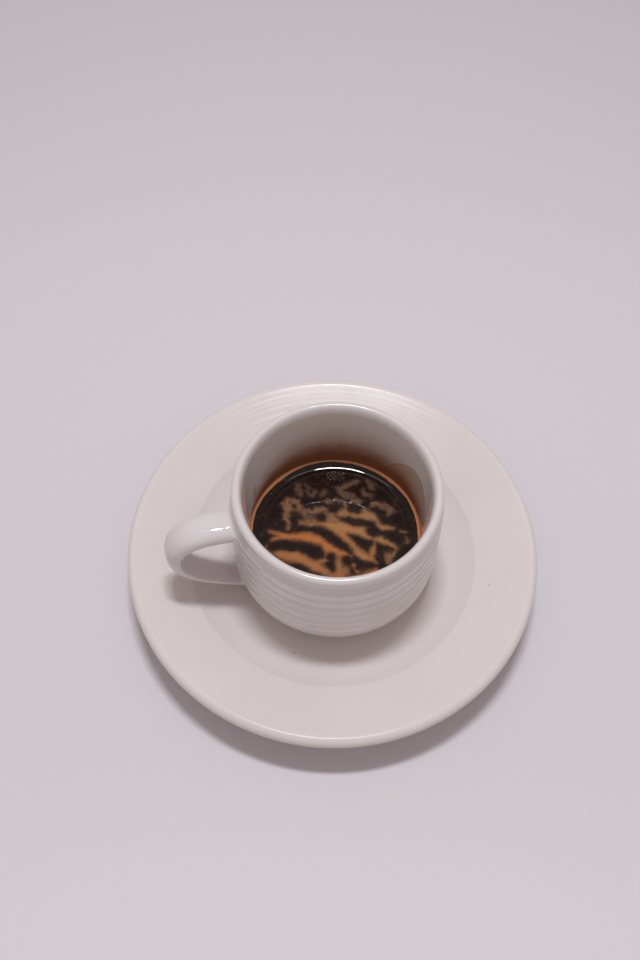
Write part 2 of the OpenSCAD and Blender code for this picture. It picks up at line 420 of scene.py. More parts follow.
under_z = floor_z - saucer_wall + 0.2
prof = [[0, under_z], [sfoot_r - sfoot_w - 1.1, under_z], [sfoot_r - sfoot_w, 0], [sfoot_r, 0], [sfoot_r + 0.6, 0.8]]
for i in range(25):
    r = sfoot_r + 2.2 + (crease_r - sfoot_r - 2.2) * i / 24
    prof.append([r, well_z(r) - saucer_wall + 0.3])
prof += arc(apex_r, saucer_h - edge_r, edge_r, -90, 90 + rim_a, 50)
for i in range(41):
    r = crease_r + (floor_r - crease_r) * i / 40
    prof.append([r, well_z(r)])
prof += [[0, floor_z]]


def saucer_step(q):
    if q[1] > 10.5 and 43.0 < q[0] < 62.0:
        return 0.36
    return 1.2


sprof = resample(prof, saucer_step, 0.18)
sprof[:, 1] = np.maximum(sprof[:, 1], 0.0)


def saucer_relief(R, Z, A):
    """Traces of turning under the glaze: very shallow rings on the rim."""
    on = sstep(45.0, 48.0, R) * (1 - sstep(58.5, 60.0, R)) * sstep(11.0, 11.6, Z)
    ph = 2 * math.pi * R / 1.9 + 1.3 * np.sin(R * 0.9) + 0.5 * np.sin(2 * A + 0.3 * R)
    rings = np.sin(ph) * (0.6 + 0.4 * np.sin(R * 2.1 + 0.7 * np.cos(A)))
    wave = 0.012 * np.sin(3 * A + 0.8) * sstep(40.0, 62.0, R)
    patch = 0.25 + 1.1 * sstep(-0.15, 0.35, fbm(2.2 * np.cos(A) + R * 0.05 + 5, 2.2 * np.sin(A) - R * 0.04 + 5, 101, 3))
    return on * RIPPLE * rings * patch + wave


RIPPLE = 0.012
V, Q, T, _ = revolve(sprof, 300, 0.0, saucer_relief)
make_piece("saucer_ware", V, [Q, T], saucer_glaze(), "saucer")
print("saucer tris", 2 * len(Q) + len(T))

# ------------------------------------------------------------------ cup
cup_h, lip_d, lip_t = 42.7, 59.2, 2.9
body_top_d, body_low_d, base_round = 59.8, 61.2, 9.2
inner_top_d, inner_low_d, inner_round = 53.0, 51.0, 9.0
base_t, foot_r, foot_w, foot_h, cup_dx = 3.8, 20.6, 3.0, 1.5, 0.6
ridge_n, ridge_h, ridge_z0 = 6, 0.2, 9.6
cz = floor_z
top_z = cz + cup_h
lip_r = lip_t / 2
lip_c = lip_d / 2 - lip_r
lip_z = top_z - lip_r
base_z = cz + foot_h
bulge_z = base_z + base_round
neck_z = top_z - 5.6
ridge_step = (neck_z - cz - ridge_z0) / ridge_n
floor_in = base_z + base_t
low_z = floor_in + inner_round
coffee_z = floor_in + 10.2


def body_r(z):
    return body_low_d / 2 + (body_top_d - body_low_d) / 2 * (z - bulge_z) / (neck_z - bulge_z)


outer = [[0, base_z - 0.3], [foot_r - foot_w - 0.5, base_z - 0.3], [foot_r - foot_w, cz], [foot_r, cz], [foot_r + 0.6, base_z]]
outer += arc(body_low_d / 2 - base_round, bulge_z, base_round, -88, -4, 40)
z = cz + ridge_z0 + 0.2
while z < neck_z:
    outer.append([body_r(z), z])
    z += 0.5
outer += [[body_r(neck_z), neck_z], [body_r(neck_z) - 0.2, neck_z + 0.8], [lip_c + lip_r - 0.25, neck_z + 2.4]]
lip_ease = 3.4
lipside = arc(lip_c, lip_z, lip_r, -18, 90, 26)
for a in np.radians(np.linspace(0, 90, 28))[1:]:
    lipside.append([lip_c - (lip_c - inner_top_d / 2) * math.sin(a), top_z - lip_ease * (1 - math.cos(a))])
inn = [[inner_low_d / 2 + (inner_top_d - inner_low_d) / 2 * t, low_z + (top_z - lip_ease - low_z) * t] for t in np.linspace(1, 0, 20)[1:]]
inn += arc(inner_low_d / 2 - inner_round, low_z, inner_round, 0, -90, 30)[1:]
inn += [[0, floor_in]]


def cup_step(q):
    if q[0] > 28.5 and 15.0 < q[1] < 45.0:
        return 0.31
    if q[1] > 44.5:
        return 0.33
    return 1.0


cprof = resample(outer + lipside + inn, cup_step, 0.22)
cprof[:, 1] = np.maximum(cprof[:, 1], cz)


def ridge_relief(Z, A):
    """Height of the turned ridges at height Z; every ridge is a little
    different, and each runs very slightly uneven round the cup."""
    u = (Z - cz - ridge_z0) / ridge_step
    k = np.floor(u)
    frac = u - k
    tall = np.array([0.85, 1.0, 0.9, 1.05, 1.0, 1.1])
    amp = tall[np.clip(k.astype(int), 0, ridge_n - 1)] * (1.0 + 0.1 * np.sin(2.0 * A + k * 1.7))
    on = (u > 0) & (u < ridge_n)
    soft = 1 - sstep(0.6, 1.0, (Z - neck_z + 2.0) / 2.0)
    fine = 0.04 + 0.05 * sstep(2.0, 4.0, u)
    lean = np.where(frac < 0.68, 0.5 * frac / 0.68, 0.5 + 0.5 * (frac - 0.68) / 0.32)
    body = (ridge_h + 0.02) * amp * np.sin(math.pi * lean) ** 2
    edge = fine * np.sin(2 * math.pi * frac) ** 2 * (1.0 + 0.3 * np.sin(3.0 * A + k * 2.3))
    return np.where(on, body + edge, 0.0) * soft


def cup_relief(R, Z, A):
    out = (R > 28.5) & (Z > cz + ridge_z0)
    base = np.where(out, ridge_relief(Z, A), 0.0)
    # hand-of-the-maker unevenness, well under a tenth of a millimetre
    wave = 0.03 * np.sin(2 * A + 0.5) * sstep(10.0, 26.0, R) + 0.012 * np.sin(5 * A + Z * 0.25) * (R > 24.0)
    return base + wave * (Z > 20.0) * sstep(20.0, 26.0, Z)


V1, Q1, T1, (RR, ZZ, nrow, segs) = revolve(cprof, 264, cup_dx, cup_relief)
# analytic-like normals from the grid itself
P = V1[: nrow * segs].reshape(nrow, segs, 3)
du = np.gradient(P, axis=0)
dv = np.roll(P, -1, 1) - np.roll(P, 1, 1)
NN = np.cross(dv, du)
NN /= np.linalg.norm(NN, axis=2)[:, :, None] + 1e-12
N1 = np.vstack([NN.reshape(-1, 3), [[0, 0, -1.0], [0, 0, 1.0]]])
print("cup normals outward check", float(np.mean((NN[nrow // 3] * np.stack([P[nrow // 3, :, 0], P[nrow // 3, :, 1], 0 * P[nrow // 3, :, 0]], 1)).sum(1))))

# ---- handle: the strap runs into the body with soft fillets
handle_turn = 15.3
gap_reach, gap_top, gap_low, gap_mid = 46.0, 38.0, 11.8, 31.3
strap_w, strap_flare, strap_edge = 9.6, 0.8, 1.9
strap_top, strap_tip, strap_low = 4.6, 4.3, 3.2
loop_a = np.array([[28, gap_top], [36, gap_top + 2.4], [gap_reach + 0.2, gap_top + 2.0], [gap_reach, gap_mid]])
loop_b = np.array([[gap_reach, gap_mid], [gap_reach + 0.1, gap_mid - 8], [37, gap_low + 4.8], [27.6, gap_low]])


def bez(p, t):
    t = t[:, None]
    return (1 - t) ** 3 * p[0] + 3 * (1 - t) ** 2 * t * p[1] + 3 * (1 - t) * t * t * p[2] + t ** 3 * p[3]


def bez_d(p, t):
    t = t[:, None]
    d = 3 * (1 - t) ** 2 * (p[1] - p[0]) + 6 * (1 - t) * t * (p[2] - p[1]) + 3 * t * t * (p[3] - p[2])
    return d / np.linalg.norm(d, axis=1)[:, None]


tt = np.linspace(0, 1, 61)
CP = np.vstack([bez(loop_a, tt), bez(loop_b, tt[1:])])
CD = np.vstack([bez_d(loop_a, tt), bez_d(loop_b, tt[1:])])
CU = np.concatenate([tt, 1 + tt[1:]])


SQ = 2.6


def strap_dist(S, Y, Z):
    """Distance to the domed strap, in the handle's own plane."""
    out = np.empty(len(S))
    for a in range(0, len(S), 40000):
        s, y, z = S[a:a + 40000], Y[a:a + 40000], Z[a:a + 40000]
        d2 = (s[:, None] - CP[:, 0]) ** 2 + (z[:, None] - CP[:, 1]) ** 2
        i = np.clip(np.argmin(d2, 1), 1, len(CP) - 2)
        along = (s - CP[i, 0]) * CD[i, 0] + (z - CP[i, 1]) * CD[i, 1]
        step = np.linalg.norm(CP[i + 1] - CP[i], axis=1)
        f = np.clip(along / step, -1, 1)
        j = np.where(f >= 0, i + 1, i - 1)
        g = np.abs(f)[:, None]
        p = CP[i] * (1 - g) + CP[j] * g
        d = CD[i] * (1 - g) + CD[j] * g
        d /= np.linalg.norm(d, axis=1)[:, None]
        u = CU[i] * (1 - g[:, 0]) + CU[j] * g[:, 0]
        # signed height over the inner face, along the left normal
        h = (s - p[:, 0]) * -d[:, 1] + (z - p[:, 1]) * d[:, 0]
        lo = (s - p[:, 0]) * d[:, 0] + (z - p[:, 1]) * d[:, 1]
        t = np.where(u <= 1, strap_top + (strap_tip - strap_top) * u, strap_tip + (strap_low - strap_tip) * (u - 1))
        w = (strap_w + strap_flare * np.abs(u - 1) ** 4) / 2
        q = h - strap_edge / 2
        b = np.where(q > 0, t - strap_edge / 2, strap_edge / 2)
        ay, aq = np.abs(y) / w + 1e-6, np.abs(q) / b + 1e-6
        k0 = (ay ** SQ + aq ** SQ) ** (1 / SQ)
        k1 = np.sqrt((ay ** (SQ - 1) / w) ** 2 + (aq ** (SQ - 1) / b) ** 2) * k0 ** (1 - SQ)
        e = (k0 - 1) / np.maximum(k1, 0.02)
        out[a:a + 40000] = np.where(np.abs(lo) > 0.4, np.sqrt(np.maximum(e, 0) ** 2 + lo ** 2), e)
    return out


sel = (np.arange(len(cprof)) < np.argmax(cprof[:, 1])) & (cprof[:, 0] > 21.5)
OR, OZ = cprof[sel, 0], cprof[sel, 1]
o = np.argsort(OZ)
OR, OZ = OR[o], OZ[o]
turn = math.radians(180 + handle_turn)


def body_dist(S, Y, Z):
    r = np.hypot(S, Y)
    a = np.arctan2(Y, S) + turn
    base = np.interp(Z, OZ, OR)
    slope = (np.interp(Z + 0.3, OZ, OR) - np.interp(Z - 0.3, OZ, OR)) / 0.6
    rel = np.where(Z > cz + ridge_z0, ridge_relief(Z, a), 0.0)
    wave = 0.03 * np.sin(2 * a + 0.5) + 0.012 * np.sin(5 * a + Z * 0.25)
    rel = rel + wave * sstep(20.0, 26.0, Z)
    return (r - base - rel) / np.sqrt(1 + slope ** 2)


KB = 3.0


def blend_dist(S, Y, Z, parts=False):
    db, ds = body_dist(S, Y, Z), strap_dist(S, Y, Z)
    h = np.maximum(KB - np.abs(db - ds), 0) / KB
    D = np.minimum(db, ds) - h * h * h * KB / 6 - 0.014
    return (D, db, ds) if parts else D


def nets(fn, lo, hi, step):
    ax = [np.arange(lo[i], hi[i] + step, step) for i in range(3)]
    G = np.meshgrid(*ax, indexing="ij")
    shape = G[0].shape
    F = fn(G[0].ravel(), G[1].ravel(), G[2].ravel()).reshape(shape)
    neg = F < 0
    cs = tuple(n - 1 for n in shape)
    acc = np.zeros(cs + (3,))
    cnt = np.zeros(cs)
    corner = [(i, j, k) for i in (0, 1) for j in (0, 1) for k in (0, 1)]

    def sub(A, c):
        return A[c[0]:c[0] + cs[0], c[1]:c[1] + cs[1], c[2]:c[2] + cs[2]]

    for a in corner:
        for b in corner:
            if a < b and sum(abs(a[i] - b[i]) for i in range(3)) == 1:
                fa, fb = sub(F, a), sub(F, b)
                x = sub(neg, a) != sub(neg, b)
                t = np.where(x, fa / np.where(x, fa - fb, 1.0), 0)
                for i in range(3):
                    acc[..., i] += np.where(x, a[i] + t * (b[i] - a[i]), 0)
                cnt += x
    has = cnt > 0
    vid = -np.ones(cs, dtype=np.int64)
    vid[has] = np.arange(has.sum())
    idx = np.argwhere(has)
    pos = idx + acc[has] / cnt[has][:, None]
    verts = np.array(lo) + pos * step
    quads = []
    for d in range(3):
        e = [slice(None)] * 3
        f = [slice(None)] * 3
        e[d], f[d] = slice(0, -1), slice(1, None)
        A, B = neg[tuple(e)], neg[tuple(f)]
        for flip, M in ((False, A & ~B), (True, ~A & B)):
            I = np.argwhere(M)
            u, v = (d + 1) % 3, (d + 2) % 3
            ok = (I[:, u] > 0) & (I[:, v] > 0) & (I[:, u] < cs[u]) & (I[:, v] < cs[v]) & (I[:, d] < cs[d])
            I = I[ok]
            q = []
            for du_, dv_ in ((0, 0), (1, 0), (1, 1), (0, 1)):
                J = I.copy()
                J[:, u] -= 1 - du_
                J[:, v] -= 1 - dv_
                q.append(vid[J[:, 0], J[:, 1], J[:, 2]])
            q = np.stack(q, 1)
            quads.append(q[:, ::-1] if flip else q)
    return verts, np.vstack(quads)


def shell(S, Y, Z):
    D, db, ds = blend_dist(S, Y, Z, True)
    return np.maximum(np.maximum(D, -(db + 1.0)), ds - 3.6)


def grad(fn, V, e=0.02):
    g = np.empty_like(V)
    for i in range(3):
        a, b = V.copy(), V.copy()
        a[:, i] += e
        b[:, i] -= e
        g[:, i] = (fn(*a.T) - fn(*b.T)) / (2 * e)
    return g


hv, hq = nets(shell, (25.6, -11.6, 6.0), (52.6, 11.6, 48.6), 0.42)
for _ in range(2):
    g = grad(shell, hv)
    val = shell(*hv.T)
    stepv = val / np.maximum((g ** 2).sum(1), 0.25)
    hv = hv - np.clip(stepv, -0.3, 0.3)[:, None] * g
gn = grad(blend_dist, hv, 0.12)
gn /= np.linalg.norm(gn, axis=1)[:, None] + 1e-12
ct, st = math.cos(turn), math.sin(turn)


def to_world(p, shift):
    return np.stack([p[:, 0] * ct - p[:, 1] * st + shift, p[:, 0] * st + p[:, 1] * ct, p[:, 2]], 1)


V2 = to_world(hv, cup_dx)
N2 = to_world(gn, 0.0)
cup_mat = cup_glaze(coffee_z, cup_dx)
Vc = np.vstack([V1, V2])
Nc = np.vstack([N1, N2])
make_piece("cup_ware", Vc, [np.vstack([Q1, hq + len(V1)]), T1], cup_mat, "cup", normals=Nc)
print("cup tris", 2 * (len(Q1) + len(hq)) + len(T1), "handle", 2 * len(hq))

# ------------------------------------------------------------------ coffee
# Streaks of crema, laid out like strokes: (x, y, half width) in millimetres
# from the cup's axis, with a tone (0 orange, 1 tan), a dullness and a weight.
STROKES = [
    (0.0, 0.0, 0.0, [(-20, .2, .4), (-18, -.6, .6), (-16, -1.3, 1), (-13, -1.4, 1.2), (-10, -1.6, 1.6), (-7.5, -1.8, 1.8), (-5.3, -3, 1.9), (-3.2, -4.2, 2), (-.5, -5.4, 1.6), (2, -6.4, 1.5), (4, -7.2, 1.2)]),
    (0.1, 0.0, 0.0, [(-18.8, -3.1, .5), (-17.3, -2.2, .7), (-16, -1.5, .8)]),
    (0.0, 0.0, 0.0, [(-2.8, -6.5, .9), (-3, -8.2, .6), (-3.3, -9.8, .9)]),
    (0.5, 0.2, 0.0, [(1.2, -6.5, 1.2), (1.3, -8.5, .9), (1.2, -11, 1.2), (1, -13.5, 2.5)]),
    (0.3, 0.1, 0.0, [(-17.5, -7.2, .8), (-15.5, -7.6, 1.6), (-13.5, -8.4, 1.7), (-11, -8.2, 1.9), (-9, -9.3, 2.1), (-6.5, -10.8, 1.9), (-4.5, -11.3, 1.9), (-2.5, -13.3, 1.2)]),
    (0.55, 0.35, 0.0, [(-4, -10, 1.2), (-3, -12.8, 1), (0, -14, 1.5), (3, -12.5, 1.6)]),
    (0.9, 0.0, 0.0, [(-10.3, 3, .5), (-8, 2.9, .7), (-5, 2.9, .9), (-2, 2.7, 1.3), (.5, 2.4, 1.9), (3, 1.6, 1.7), (5.5, 1.1, 1.5), (8, .7, 1.6), (9.5, -.6, 1.3), (11.3, -1.6, .9), (13.5, -1.8, 1.2), (15.3, -2.7, .9), (17, -3.6, .6), (18.4, -4.9, .5)]),
    (0.7, 0.0, 0.0, [(.8, .8, 1.4), (2.4, -.7, 1.4), (4, -2.7, 1.3), (5.6, -4.6, 1.2), (7, -6.3, 1.3), (8.5, -7.6, 1.3), (10, -8.4, 1.2)]),
    (0.6, 0.1, 0.0, [(11.6, -2.6, .7), (11.3, -4.5, .8), (10.9, -6.5, 1), (11, -8, 1.2), (11.9, -9.5, .7)]),
    (1.0, 0.1, 0.0, [(-1, 6.2, .8), (1, 6.6, .9), (3, 7.2, 1.3), (5, 6.4, .8), (7.5, 6.2, 1), (9.5, 6.3, 1.6), (11, 6, 1.3), (12.4, 4.8, .9), (13.3, 3.4, .8), (14.5, 2.3, .9), (16, 2.3, .7), (17.5, 2, .4)]),
    (1.0, 0.3, 0.0, [(2.6, 8, .7), (3, 9.5, .6), (2.8, 10.8, .5)]),
    (1.0, 0.2, 0.0, [(9, 8, .6), (9.4, 7.2, .9)]),
    (1.0, 0.55, 0.0, [(-9.8, 3.6, .5), (-9.3, 5.5, 1), (-9.2, 7.3, .9)]),
    (1.0, 0.5, 0.0, [(-9.5, 7.4, .8), (-7, 7.3, .9), (-4.6, 7.8, .9), (-2.8, 8.2, .6)]),
    (1.0, 0.4, 0.0, [(-8.5, 4, 1), (-7, 4.3, 1.1), (-5, 3.4, .8)]),
    (1.0, 0.3, 0.0, [(-2.5, 4.5, 1.2), (-.8, 4.8, 1.4), (.5, 4.2, 1.2)]),
    (1.0, 0.4, 0.0, [(-2.6, 6.8, 1), (-1.5, 6, 1)]),
    (1.0, 0.9, -0.2, [(-7.8, 5.3, 1.4), (-7.0, 5.3, 1.4)]),
    (0.6, 0.45, 0.0, [(-14.7, 11.2, .9), (-14.8, 9, 1.2), (-14.9, 7, 1), (-14.7, 5, .7), (-14.3, 3, .5), (-14.3, 1, .5)]),
    (0.7, 0.5, 0.0, [(-13.2, 11, .7), (-12, 10.3, .8), (-11.3, 9, 1), (-11.2, 7.3, .9), (-10.3, 6.8, .6)]),
    (0.6, 0.5, 0.0, [(-13.5, 7.5, .7), (-13.8, 6.3, .4)]),
    (0.9, 0.9, -0.1, [(-11.4, 16.5, .8), (-11.5, 14.5, 1), (-11, 13, .8)]),
    (0.9, 0.9, -0.1, [(-8.8, 14.5, .6), (-7.5, 13.2, 1.1), (-6.2, 14.3, .9)]),
    (0.9, 0.9, -0.1, [(-4.5, 14, .8), (-3.5, 13.6, .5)]),
    (0.9, 0.9, -0.1, [(-9.5, 17, .5), (-8.2, 16, .5)]),
    (1.0, 0.75, 0.0, [(.8, 15.7, .7), (2.5, 16.4, .9), (4.5, 17.3, .8), (6.5, 18, .6), (8, 18.6, .4)]),
    (1.0, 0.85, 0.0, [(1.5, 14.5, 1.2), (3, 13.2, 1.4), (5, 12.8, .8)]),
    (1.0, 0.6, 0.0, [(5.8, 11.5, .8), (7.3, 11.4, .6)]),
    (1.0, 0.8, 0.0, [(8.7, 15, .7), (9.4, 13.5, .8), (10.7, 13, .6)]),
    (1.0, 0.85, -0.1, [(10, 18.6, .6), (11.5, 17.2, .5), (11.8, 15.5, .6)]),
    (1.0, 0.6, 0.0, [(12, 10, .9), (13.5, 10.3, .9), (15.2, 9.7, .6)]),
    (1.0, 0.6, 0.0, [(15.8, 8.6, .7), (16.6, 7.5, .9)]),
    (1.0, 0.7, 0.0, [(-2.5, 11, .6), (0, 11.2, .6), (2, 10.8, .4)]),
    (0.5, 0.6, -0.2, [(19.5, 1, .4), (21, .6, .6)]),
    (0.5, 0.6, -0.2, [(21.5, -2, .8), (21.2, -2.6, .6)]),
    (0.4, 0.2, 0.0, [(5.6, -10.6, .4), (6.2, -11.8, .5), (7, -12.8, .5)]),
    (0.5, 0.45, -0.35, [(15, -6, 1.2), (16.2, -8.2, 1.3), (17.4, -6.4, 1.0)]),
    # the part behind the near lip carries on in the same way
    (0.0, 0.0, 0.0, [(-6, -15.4, 1.3), (-2, -16.8, 1.6), (3, -16.4, 1.5), (8, -14.6, 1.2), (12, -12.2, .9)]),
    (0.1, 0.0, 0.0, [(-15, -12.4, 1.1), (-11.5, -15.4, 1.3), (-6, -18.8, 1.2), (0, -20.2, 1.2), (6, -19, 1.0)]),
    (0.6, 0.3, 0.0, [(10, -17.5, .9), (13.5, -14.8, 1.0), (16.4, -11.2, .8)]),
    (0.3, 0.1, 0.0, [(-20.5, -5.4, .7), (-19, -9.5, .9), (-16.4, -12.2, .7)]),
]
DARK = [
    [(-19, -5, 1.5), (-16, -4.4, 1.5), (-13, -4.6, 1.8), (-10.5, -4.7, 1.5), (-8, -5.6, 2), (-6, -6.6, 2.4), (-4.7, -7.2, 1.6)],
    [(-14.5, -10.6, .4), (-12, -11.2, .8), (-9.5, -12, .9), (-7.3, -13, .6)],
    [(-1.1, -8.2, 1.5), (-1.0, -8.3, 1.4)],
    [(-1.9, -10.5, 1.2), (-1.2, -11, 1.1), (-.7, -12.1, .6)],
    [(3.7, -9, 1.5), (4.2, -9.8, 1.2)],
    [(-10, .9, .5), (-8, 1.2, .8), (-6, 1.1, 1.1), (-4, .4, 1.4), (-2.3, -.8, 1.6), (-.6, -2, 1.6), (1.2, -3.4, 1.3), (3, -4.7, 1), (4.4, -6, .8), (4.9, -6.9, .3)],
    [(2.2, 4.8, .6), (3.8, 4.6, 1.2), (5.5, 4.1, 1.3), (7.2, 3.7, 1.1), (8.6, 3.3, .7)],
    [(4.3, -.6, .5), (6, -1.5, 1), (7.8, -2.8, 1.5), (9.3, -3.6, 1.5), (9.2, -5, 1), (9.5, -5.9, .4)],
    [(10.6, -3, .8), (10.7, -3.3, .7)],
    [(11, 3, 1.4), (10.9, 1.5, 1.5), (11.6, 0, 1.1), (13, -.2, .5)],
    [(16, .3, .9), (17.5, -.5, 1.5), (18.5, -2, 1.2)],
    [(15.6, -.9, .7), (15.4, -1, .6)],
    [(13.2, -4.5, .9), (15.5, -4.8, 1.1)],
    [(13, -7.5, 1), (13.3, -9, .9)],
    [(7.2, -11.3, 1.1), (9, -10.9, 1.4), (11.2, -10.6, 1)],
    [(5.2, -12.6, .7), (5.3, -12.8, .6)],
    [(-4.3, 5.2, 1.4), (-4.5, 5.3, 1.3)],
    [(-1.2, 8.3, 1.3), (-.2, 7.5, .9)],
    [(1.7, 9.4, .7), (1.6, 9.6, .6)],
    [(5.3, 8.8, 1.4), (6.8, 8.6, 1.4)],
    [(-13, 6.5, .8), (-11.6, 6, 1), (-10.3, 4.9, .7)],
    [(-12.4, 2.8, 1.1), (-12, 1.3, 1.3)],
    [(-12.8, 9, .5), (-12.7, 9.2, .4)],
]


def stroke_field(x, y, pts):
    best = np.full(x.shape, -1e3)
    for (x0, y0, w0), (x1, y1, w1) in zip(pts[:-1], pts[1:]):
        dx, dy = x1 - x0, y1 - y0
        t = np.clip(((x - x0) * dx + (y - y0) * dy) / (dx * dx + dy * dy), 0, 1)
        d = np.hypot(x - x0 - t * dx, y - y0 - t * dy)
        best = np.maximum(best, w0 + (w1 - w0) * t - d)
    return best


def inner_r(z):
    return inner_low_d / 2 + (inner_top_d - inner_low_d) / 2 * (z - low_z) / (top_z - lip_ease - low_z)


LEVEL = 21.25                     # flat level in the middle
RISE, REACH = 1.6, 1.55          # the meniscus climbs the wall
wall_r = inner_r(LEVEL + RISE)
segs = 440
# rings: even out to the meniscus, closer together there
rings = np.concatenate([np.linspace(0.35, 21.5, 84), np.linspace(21.5, wall_r + 0.35, 32)[1:]])
th = 2 * math.pi * np.arange(segs) / segs
R = rings[:, None] * np.ones(segs)
A = np.ones(len(rings))[:, None] * th
X, Y = R * np.cos(A), R * np.sin(A)
men = RISE * np.exp(-(wall_r - np.minimum(R, wall_r)) / REACH)
Z = LEVEL + men
# where the drawn streaks lie when seen on the sloping meniscus
yy = Y - 0.608 * (21.9 - Z)
wx = 0.3 * fbm(X * 0.35 + 5, yy * 0.35, 21, 3)
wy = 0.3 * fbm(X * 0.35 - 11, yy * 0.35 + 3, 31, 3)
px, py = X + wx, yy + wy
light = np.full(X.shape, -6.0)
tone_n = np.zeros(X.shape)
dull_n = np.zeros(X.shape)
wsum = np.full(X.shape, 1e-6)
fluff_x = px + 1.1 * fbm(X * 0.42 - 3, yy * 0.42 + 12, 51, 3)
fluff_y = py + 1.1 * fbm(X * 0.42 + 23, yy * 0.42 - 6, 55, 3)
fluff = 0.75 * fbm(X * 0.8 + 2, yy * 0.8 + 31, 57, 3)
for tone, dull, bias, pts in STROKES:
    if dull >= 0.45:
        f = 1.25 * stroke_field(fluff_x, fluff_y, pts) + 0.1 + bias + fluff
    else:
        f = stroke_field(px, py, pts) + bias
    light = np.maximum(light, f)
    w = np.exp(np.clip(f, -5, 2.5) * 2.2)
    tone_n += w * tone
    dull_n += w * dull
    wsum += w
tone = tone_n / wsum
dull = dull_n / wsum
dark = np.full(X.shape, -6.0)
for pts in DARK:
    dark = np.maximum(dark, stroke_field(px, py, pts))
field = np.minimum(light + 0.3, -dark + 0.05)
field = field + 0.5 * fbm(px * 0.7 + 40, py * 0.85, 41, 4, 0.5)
# faint wisps on the open dark parts
wisp = fbm(px * 0.5 + 9, py * 0.8 + 4, 61, 3, 0.55)
field = np.maximum(field, -1.9 + 1.6 * sstep(0.05, 0.5, wisp))
field = np.clip(field, -4.0, 3.0)
wallring = sstep(wall_r - 0.85, wall_r - 0.45, R + 0.35 * fbm(3.0 * np.cos(A) + 7, 3.0 * np.sin(A) + 7, 71, 3)) * (0.9 + 0.25 * fbm(4.0 * np.cos(A), 4.0 * np.sin(A), 75, 2))
relief = 0.008 * sstep(-0.4, 1.6, field) + 0.004 * fbm(px * 0.3, py * 0.3, 81, 1)
swell = 0.02 * fbm(X * 0.11 + 3, Y * 0.11 + 8, 91, 1)
rim_wave = 0.077 * np.exp(-0.5 * ((R - 22.2) / 0.36) ** 2)
Z = Z + relief * (1 - sstep(wall_r - 6.0, wall_r - 4.3, R)) + swell * (1 - 0.9 * sstep(wall_r - 6.0, wall_r - 4.3, R)) + rim_wave
top = np.stack([cup_dx + X, Y, Z], 2)
# the side, just inside the ceramic, and the bottom
side = []
for zz in np.linspace(LEVEL + RISE - 0.6, low_z, 3):
    side.append((inner_r(zz) + 0.3, zz))
for a in np.radians(np.linspace(-8, -88, 9)):
    side.append((inner_low_d / 2 - inner_round + (inner_round + 0.3) * math.cos(a), low_z + (inner_round + 0.3) * math.sin(a)))
rows = [top]
for r, zz in side:
    rows.append(np.stack([cup_dx + r * np.cos(th), r * np.sin(th), np.full(segs, zz)], 1)[None])
G = np.concatenate(rows, 0)
nr = len(G)
VV = np.vstack([G.reshape(-1, 3), [[cup_dx, 0, float(Z[0].mean())], [cup_dx, 0, floor_in - 0.3]]])
i = np.arange(nr - 1)[:, None] * segs
j = np.arange(segs)[None, :]
k = (j + 1) % segs
quads = np.stack([i + j, i + segs + j, i + segs + k, i + k], 2).reshape(-1, 4)
j = np.arange(segs)
k = (j + 1) % segs
cap0 = np.stack([np.full(segs, nr * segs), j, k], 1)
cap1 = np.stack([np.full(segs, nr * segs + 1), (nr - 1) * segs + k, (nr - 1) * segs + j], 1)
pad = (nr - len(rings)) * segs + 1


def full(a, fill):
    return np.concatenate([a.ravel(), np.full(pad - 1, fill), [float(a[0].mean()), fill]])


make_piece("coffee_liquid", VV, [quads, np.vstack([cap0, cap1])], coffee_material(), "espresso",
           attrs={"crema": full(field, -4.0), "tone": full(tone, 0.5), "dull": full(dull, 0.5), "wall": full(wallring, 0.0)})
print("coffee tris", 2 * len(quads) + 2 * segs)

# ---- bubbles: a small raft at the back and stray ones in the crema
rs = np.random.RandomState(5)
spots = []


def surface_z(x, y):
    r = math.hypot(x, y)
    return LEVEL + RISE * math.exp(-(wall_r - min(r, wall_r)) / REACH)


def try_add(x, y, r):
    if math.hypot(x, y) + r > wall_r - 0.5:
        return
    if all(math.hypot(x - a, y - b) > (r + c) * 0.98 for a, b, c in spots):
        spots.append((x, y, r))


for _ in range(260):
    try_add(rs.uniform(-2.7, 2.5), rs.uniform(18.9, 22.0), rs.uniform(0.14, 0.36))
for _ in range(14):
    a = rs.uniform(0, 2 * math.pi)
    try_add(23.9 * math.cos(a), 23.9 * math.sin(a), rs.uniform(0.12, 0.26))
for _ in range(24):
    a, q = rs.uniform(0, 2 * math.pi), 20 * math.sqrt(rs.rand())
    try_add(q * math.cos(a), q * math.sin(a), rs.uniform(0.1, 0.2))
# one dome: flattened, sunk a little below the surface
na, nb = 14, 8
dome = []
for b in range(1, nb):
    e = math.pi * b / nb
    for a in range(na):
        t = 2 * math.pi * a / na
        dome.append((math.sin(e) * math.cos(t), math.sin(e) * math.sin(t), math.cos(e)))
dome += [(0, 0, 1), (0, 0, -1)]
dome = np.array(dome)
dq, dt = [], []
for b in range(nb - 2):
    for a in range(na):
        dq.append((b * na + a, (b + 1) * na + a, (b + 1) * na + (a + 1) % na, b * na + (a + 1) % na))
n0 = (nb - 1) * na
for a in range(na):
    dt.append((n0, a, (a + 1) % na))
    dt.append((n0 + 1, (nb - 2) * na + (a + 1) % na, (nb - 2) * na + a))
dq, dt = np.array(dq), np.array(dt)
BV, BQ, BT = [], [], []
for m, (x, y, r) in enumerate(spots):
    p = dome * (r, r, r * 0.75) + (cup_dx + x, y, surface_z(x, y) + 0.02)
    BV.append(p)
    BQ.append(dq + m * len(dome))
    BT.append(dt + m * len(dome))
ob = make_piece("crema_bubbles", np.vstack(BV), [np.vstack(BQ), np.vstack(BT)], bubble_material())
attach(ob, "root")
print("bubbles", len(spots))

